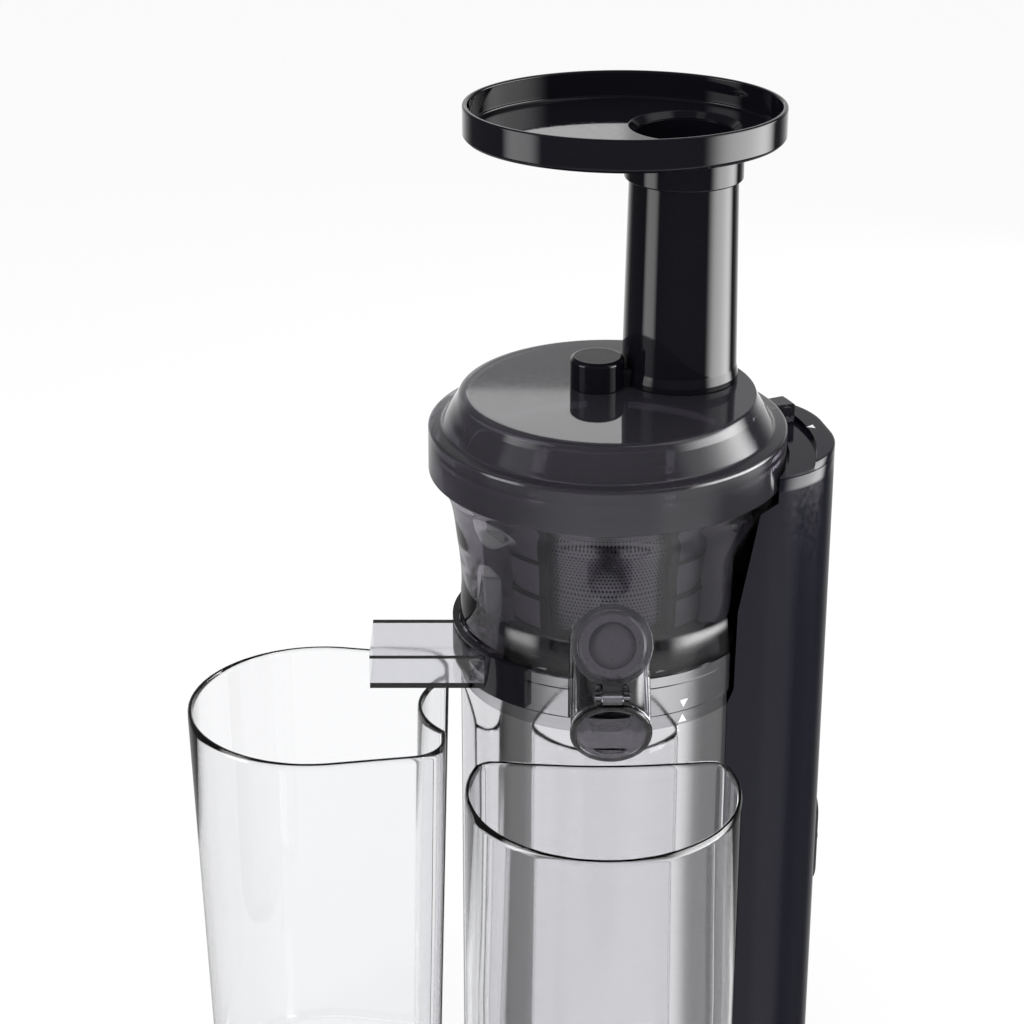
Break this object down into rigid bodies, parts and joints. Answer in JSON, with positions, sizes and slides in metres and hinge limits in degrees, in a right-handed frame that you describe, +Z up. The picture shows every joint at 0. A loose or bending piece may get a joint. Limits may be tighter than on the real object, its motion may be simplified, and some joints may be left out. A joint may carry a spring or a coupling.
{
  "type": "cold press juicer",
  "caption": "Upright slow juicer: silver round base with a tall black tower, smoked bowl with screw, strainer and brush, lid with feed tube and oval tray, and two clear vessels.",
  "frame": {"origin": "on the bowl's axis, in the plane of the feet on the table", "axes": "+Z up along the bowl's axis, -Y towards the spout, -X towards the pulp duct, tower on the +X side"},
  "size_m": [0.259, 0.202, 0.432],
  "materials": {
    "silver_casing": "satin silver with a fine vertical sheen",
    "black_gloss": "high gloss black",
    "dark_chrome": "dark smoked chrome",
    "black_satin": "satin black",
    "smoke_clear": "smoked transparent plastic",
    "clear_plastic": "clear transparent plastic",
    "rubber": "matt black rubber",
    "silicone": "soft grey silicone",
    "steel": "bright steel",
    "motor_steel": "laminated steel",
    "alloy": "cast",
    "gear_plastic": "natural acetal",
    "bronze": "sintered bronze",
    "screw_plastic": "dark glossy moulded resin",
    "board": "circuit board green",
    "switch_plastic": "red moulded plastic"
  },
  "bodies": {
    "base": {"base_shell": "silver_casing", "bottom_plate": "black_satin", "foot_ring": "rubber", "tower_foot": "rubber", "base_ring": "dark_chrome", "tower_shell": "black_gloss", "tower_cap": "black_gloss", "switch_bezel": "black_satin", "microswitch": "switch_plastic", "interlock_spring": "steel", "control_board": "board", "cord_gland": "rubber", "screws": "steel", "motor_stator": "motor_steel", "motor_brackets": "alloy", "motor_bearings": "steel", "gearbox_cover": "black_satin", "cluster_axle": "steel", "drive_bush": "bronze", "shaft_seal": "rubber"},
    "rocker": {"switch_rocker": "black_satin"},
    "plunger": {"interlock_pin": "gear_plastic"},
    "rotor": {"motor_rotor": "motor_steel"},
    "cluster": {"cluster_gear": "gear_plastic"},
    "drive": {"drive_shaft": "steel"},
    "bowl": {"bowl_shell": "smoke_clear", "bowl_lower_ring": "dark_chrome", "spout": "smoke_clear", "cap_hinge_pin": "steel", "pulp_outlet": "clear_plastic", "outlet_housing": "black_gloss", "floor_seal": "silicone", "idler_pin": "steel", "strainer_frame": "black_satin", "strainer_mesh": "steel"},
    "cap": {"juice_cap": "smoke_clear", "cap_seal": "silicone"},
    "idler": {"idler_gear": "gear_plastic"},
    "brush": {"brush_frame": "black_satin", "brush_wipers": "silicone"},
    "screw": {"juicing_screw": "screw_plastic", "screw_socket": "steel", "screw_pin": "steel"},
    "lid": {"bowl_lid": "smoke_clear", "lid_seal": "silicone", "feed_tube": "black_gloss", "hopper_tray": "black_gloss"},
    "pulp_pot": {"pulp_container": "clear_plastic"},
    "cup": {"juice_cup": "clear_plastic"}
  },
  "joints": [
    {"name": "bowl_lift", "type": "slide", "parent": "base", "child": "bowl", "axis": [0, 0, 1], "range_m": [0, 0.062]},
    {"name": "screw_spin", "type": "hinge", "parent": "bowl", "child": "screw", "pos_m": [0, 0, 0.25], "axis": [0, 0, 1], "continuous": true},
    {"name": "brush_spin", "type": "hinge", "parent": "bowl", "child": "brush", "pos_m": [0, 0, 0.25], "axis": [0, 0, 1], "continuous": true},
    {"name": "idler_spin", "type": "hinge", "parent": "bowl", "child": "idler", "pos_m": [0.01697, 0.01697, 0.228], "axis": [0, 0, 1], "continuous": true},
    {"name": "drive_spin", "type": "hinge", "parent": "base", "child": "drive", "pos_m": [0, 0, 0.15], "axis": [0, 0, 1], "continuous": true},
    {"name": "cluster_spin", "type": "hinge", "parent": "base", "child": "cluster", "pos_m": [0.027, 0, 0.12], "axis": [0, 0, 1], "continuous": true},
    {"name": "rotor_spin", "type": "hinge", "parent": "base", "child": "rotor", "pos_m": [0, 0, 0.07], "axis": [0, 0, 1], "continuous": true},
    {"name": "lid_turn", "type": "hinge", "parent": "bowl", "child": "lid", "pos_m": [0, 0, 0.3], "axis": [0, 0, 1], "range_deg": [-26, 0]},
    {"name": "plunger_slide", "type": "slide", "parent": "base", "child": "plunger", "axis": [0, 0, 1], "range_m": [0, 0.0015], "deforming": ["interlock_spring"]},
    {"name": "cap_hinge", "type": "hinge", "parent": "bowl", "child": "cap", "pos_m": [0, -0.0886, 0.2353], "axis": [1, 0, 0], "range_deg": [0, 223]},
    {"name": "switch_rock", "type": "hinge", "parent": "base", "child": "rocker", "pos_m": [0.08529, 0.01813, 0.118], "axis": [-0.2079, 0.9781, 0], "range_deg": [-8, 8]},
    {"name": "pulp_pot_slide", "type": "slide", "parent": "base", "child": "pulp_pot", "axis": [-1, 0, 0], "range_m": [0, 0.1]},
    {"name": "cup_slide", "type": "slide", "parent": "base", "child": "cup", "axis": [0, -1, 0], "range_m": [0, 0.1]}
  ],
  "couplings": [
    {"joint": "brush_spin", "follows": "screw_spin", "ratio": -0.33333},
    {"joint": "idler_spin", "follows": "screw_spin", "ratio": -1},
    {"joint": "drive_spin", "follows": "screw_spin", "ratio": 1},
    {"joint": "cluster_spin", "follows": "screw_spin", "ratio": -5},
    {"joint": "rotor_spin", "follows": "screw_spin", "ratio": 25},
    {"joint": "plunger_slide", "follows": "lid_turn", "m_per_rad": -0.0033055}
  ]
}
